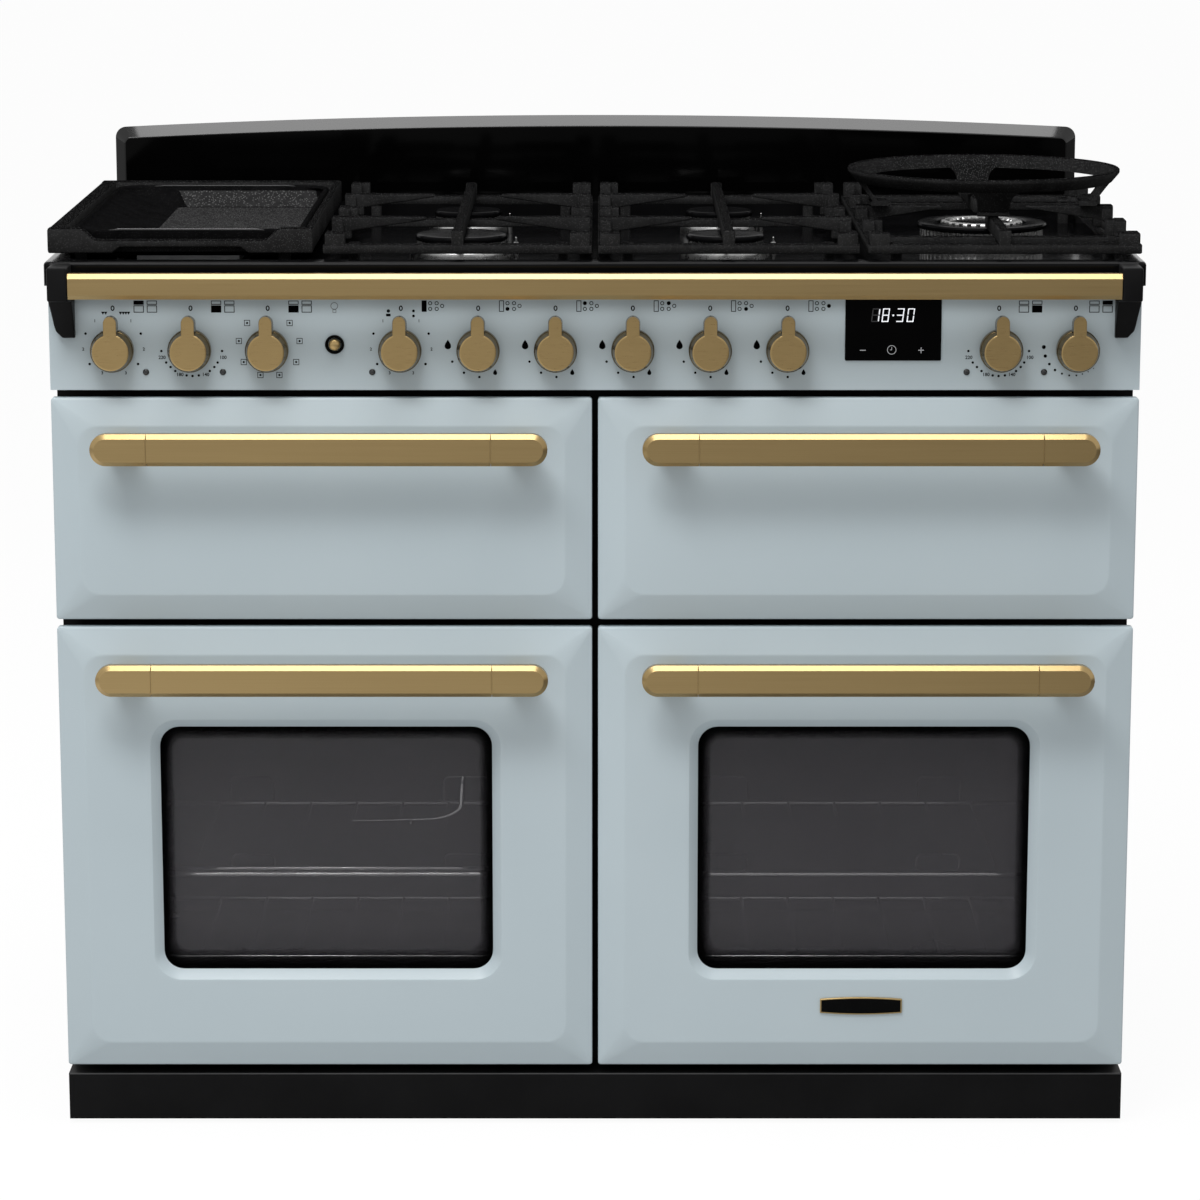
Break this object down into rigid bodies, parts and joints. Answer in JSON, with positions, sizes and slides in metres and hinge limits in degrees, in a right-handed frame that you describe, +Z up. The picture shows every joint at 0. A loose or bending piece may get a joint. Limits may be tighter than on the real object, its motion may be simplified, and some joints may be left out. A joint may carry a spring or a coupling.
{
  "type": "dual fuel range cooker",
  "caption": "Free-standing dual fuel range cooker: gas hob with wok burner and griddle over drop-down grill and slow ovens and side-hinged fan ovens.",
  "frame": {"origin": "on the floor, at the middle of the outline in plan", "axes": "+X to the viewer's right as they face the doors, +Y from the doors to the back, +Z up"},
  "size_m": [1.092, 0.648, 0.9929],
  "materials": {
    "door_paint": "satin enamel paint",
    "black_enamel": "gloss vitreous enamel",
    "black_steel": "satin black powder coat",
    "oven_enamel": "speckled oven enamel",
    "brass": "brushed",
    "cast_iron": "matt enamelled",
    "burner_alloy": "cast",
    "griddle_coat": "ribbed non-stick",
    "wire": "polished",
    "steel": "plain",
    "tinted_glass": "polished",
    "black_gloss": "gloss",
    "roller_plastic": "matt",
    "gas_pipe": "drawn tube",
    "seal_rubber": "woven"
  },
  "bodies": {
    "cooker": {"chassis_frame": "black_steel", "cabinet_panels": "black_steel", "plinth": "black_steel", "floor_supports": "steel", "oven_liners": "oven_enamel", "upper_liners": "oven_enamel", "oven_racks": "wire", "fan_housings": "oven_enamel", "heating_elements": "steel", "door_seals": "seal_rubber", "hob_tray": "black_enamel", "splashback": "black_enamel", "burner_bodies": "burner_alloy", "burner_caps": "black_enamel", "gas_manifold": "gas_pipe", "control_panel": "door_paint", "fascia_trims": "black_gloss", "handrail_bar": "brass", "handrail_brackets": "black_enamel"},
    "grill_door": {"grill_door_panel": "door_paint", "grill_door_liner": "oven_enamel", "grill_door_handle": "brass"},
    "slow_door": {"slow_door_panel": "door_paint", "slow_door_liner": "oven_enamel", "slow_door_handle": "brass"},
    "left_oven_door": {"left_oven_door_panel": "door_paint", "left_oven_door_liner": "oven_enamel", "left_oven_door_handle": "brass", "left_oven_door_glass": "tinted_glass"},
    "right_oven_door": {"right_oven_door_panel": "door_paint", "right_oven_door_liner": "oven_enamel", "right_oven_door_handle": "brass", "right_oven_door_glass": "tinted_glass"},
    "knob_grill": {"knob_grill": "brass"},
    "knob_left_oven": {"knob_left_oven": "brass"},
    "knob_left_function": {"knob_left_function": "brass"},
    "knob_griddle": {"knob_griddle": "brass"},
    "knob_front_left": {"knob_front_left": "brass"},
    "knob_rear_left": {"knob_rear_left": "brass"},
    "knob_rear_centre": {"knob_rear_centre": "brass"},
    "knob_front_centre": {"knob_front_centre": "brass"},
    "knob_wok": {"knob_wok": "brass"},
    "knob_right_oven": {"knob_right_oven": "brass"},
    "knob_slow_oven": {"knob_slow_oven": "brass"},
    "tap_spindle_front_left": {"tap_spindle_front_left": "steel"},
    "tap_spindle_rear_left": {"tap_spindle_rear_left": "steel"},
    "tap_spindle_rear_centre": {"tap_spindle_rear_centre": "steel"},
    "tap_spindle_front_centre": {"tap_spindle_front_centre": "steel"},
    "tap_spindle_wok": {"tap_spindle_wok": "steel"},
    "light_button": {"light_button": "brass"},
    "grill_pan": {"grill_pan": "oven_enamel"},
    "griddle_frame": {"griddle_frame": "cast_iron"},
    "griddle_plate": {"griddle_plate": "griddle_coat"},
    "pan_support_left": {"pan_support_left": "cast_iron"},
    "pan_support_centre": {"pan_support_centre": "cast_iron"},
    "pan_support_right": {"pan_support_right": "cast_iron"},
    "wok_cradle": {"wok_cradle": "cast_iron"},
    "left_fan": {"left_fan": "steel"},
    "right_fan": {"right_fan": "steel"},
    "rear_rollers": {"rear_rollers": "roller_plastic"}
  },
  "joints": [
    {"name": "grill_door_drop", "type": "hinge", "parent": "cooker", "child": "grill_door", "pos_m": [-0.2735, -0.245, 0.5635], "axis": [1, 0, 0], "range_deg": [0, 90]},
    {"name": "slow_door_drop", "type": "hinge", "parent": "cooker", "child": "slow_door", "pos_m": [0.2735, -0.245, 0.5635], "axis": [1, 0, 0], "range_deg": [0, 90]},
    {"name": "left_oven_door_swing", "type": "hinge", "parent": "cooker", "child": "left_oven_door", "pos_m": [-0.524, -0.245, 0.2945], "axis": [0, 0, -1], "range_deg": [0, 95]},
    {"name": "right_oven_door_swing", "type": "hinge", "parent": "cooker", "child": "right_oven_door", "pos_m": [0.524, -0.245, 0.2945], "axis": [0, 0, 1], "range_deg": [0, 95]},
    {"name": "grill_pan_glide", "type": "slide", "parent": "cooker", "child": "grill_pan", "axis": [0, -1, 0], "range_m": [0, 0.15]},
    {"name": "knob_grill_turn", "type": "hinge", "parent": "cooker", "child": "knob_grill", "pos_m": [-0.4805, -0.265, 0.8085], "axis": [0, 1, 0], "range_deg": [-165, 165]},
    {"name": "knob_griddle_turn", "type": "hinge", "parent": "cooker", "child": "knob_griddle", "pos_m": [-0.19405, -0.265, 0.8085], "axis": [0, 1, 0], "range_deg": [-165, 165]},
    {"name": "knob_left_oven_turn", "type": "hinge", "parent": "cooker", "child": "knob_left_oven", "pos_m": [-0.4035, -0.265, 0.8085], "axis": [0, 1, 0], "range_deg": [0, 265]},
    {"name": "knob_right_oven_turn", "type": "hinge", "parent": "cooker", "child": "knob_right_oven", "pos_m": [0.40427, -0.265, 0.8085], "axis": [0, 1, 0], "range_deg": [0, 265]},
    {"name": "knob_left_function_turn", "type": "hinge", "parent": "cooker", "child": "knob_left_function", "pos_m": [-0.32649, -0.265, 0.8085], "axis": [0, 1, 0], "continuous": true},
    {"name": "knob_slow_oven_turn", "type": "hinge", "parent": "cooker", "child": "knob_slow_oven", "pos_m": [0.4805, -0.265, 0.8085], "axis": [0, 1, 0], "range_deg": [0, 285]},
    {"name": "tap_front_left_push", "type": "slide", "parent": "cooker", "child": "tap_spindle_front_left", "axis": [0, 1, 0], "range_m": [0, 0.0035], "stiffness_N_per_m": 900},
    {"name": "knob_front_left_turn", "type": "hinge", "parent": "tap_spindle_front_left", "child": "knob_front_left", "pos_m": [-0.11628, -0.265, 0.8085], "axis": [0, -1, 0], "range_deg": [0, 215]},
    {"name": "tap_rear_left_push", "type": "slide", "parent": "cooker", "child": "tap_spindle_rear_left", "axis": [0, 1, 0], "range_m": [0, 0.0035], "stiffness_N_per_m": 900},
    {"name": "knob_rear_left_turn", "type": "hinge", "parent": "tap_spindle_rear_left", "child": "knob_rear_left", "pos_m": [-0.03927, -0.265, 0.8085], "axis": [0, -1, 0], "range_deg": [0, 215]},
    {"name": "tap_rear_centre_push", "type": "slide", "parent": "cooker", "child": "tap_spindle_rear_centre", "axis": [0, 1, 0], "range_m": [0, 0.0035], "stiffness_N_per_m": 900},
    {"name": "knob_rear_centre_turn", "type": "hinge", "parent": "tap_spindle_rear_centre", "child": "knob_rear_centre", "pos_m": [0.03773, -0.265, 0.8085], "axis": [0, -1, 0], "range_deg": [0, 215]},
    {"name": "tap_front_centre_push", "type": "slide", "parent": "cooker", "child": "tap_spindle_front_centre", "axis": [0, 1, 0], "range_m": [0, 0.0035], "stiffness_N_per_m": 900},
    {"name": "knob_front_centre_turn", "type": "hinge", "parent": "tap_spindle_front_centre", "child": "knob_front_centre", "pos_m": [0.11474, -0.265, 0.8085], "axis": [0, -1, 0], "range_deg": [0, 215]},
    {"name": "tap_wok_push", "type": "slide", "parent": "cooker", "child": "tap_spindle_wok", "axis": [0, 1, 0], "range_m": [0, 0.0035], "stiffness_N_per_m": 900},
    {"name": "knob_wok_turn", "type": "hinge", "parent": "tap_spindle_wok", "child": "knob_wok", "pos_m": [0.19174, -0.265, 0.8085], "axis": [0, -1, 0], "range_deg": [0, 215]},
    {"name": "light_button_push", "type": "slide", "parent": "cooker", "child": "light_button", "axis": [0, 1, 0], "range_m": [0, 0.003], "stiffness_N_per_m": 500},
    {"name": "griddle_frame_lift", "type": "slide", "parent": "cooker", "child": "griddle_frame", "axis": [0, 0, 1], "range_m": [0, 0.15]},
    {"name": "griddle_plate_lift", "type": "slide", "parent": "griddle_frame", "child": "griddle_plate", "axis": [0, 0, 1], "range_m": [0, 0.12]},
    {"name": "pan_support_left_lift", "type": "slide", "parent": "cooker", "child": "pan_support_left", "axis": [0, 0, 1], "range_m": [0, 0.15]},
    {"name": "pan_support_centre_lift", "type": "slide", "parent": "cooker", "child": "pan_support_centre", "axis": [0, 0, 1], "range_m": [0, 0.15]},
    {"name": "pan_support_right_lift", "type": "slide", "parent": "cooker", "child": "pan_support_right", "axis": [0, 0, 1], "range_m": [0, 0.15]},
    {"name": "wok_cradle_lift", "type": "slide", "parent": "pan_support_right", "child": "wok_cradle", "axis": [0, 0, 1], "range_m": [0, 0.12]},
    {"name": "left_fan_spin", "type": "hinge", "parent": "cooker", "child": "left_fan", "pos_m": [-0.2655, 0.2, 0.2945], "axis": [0, 1, 0], "continuous": true},
    {"name": "right_fan_spin", "type": "hinge", "parent": "cooker", "child": "right_fan", "pos_m": [0.2655, 0.2, 0.2945], "axis": [0, 1, 0], "continuous": true},
    {"name": "rear_rollers_spin", "type": "hinge", "parent": "cooker", "child": "rear_rollers", "pos_m": [0, 0.254, 0.022], "axis": [1, 0, 0], "continuous": true}
  ],
  "couplings": [
    {"joint": "grill_pan_glide", "follows": "grill_door_drop", "m_per_rad": 0.092}
  ]
}
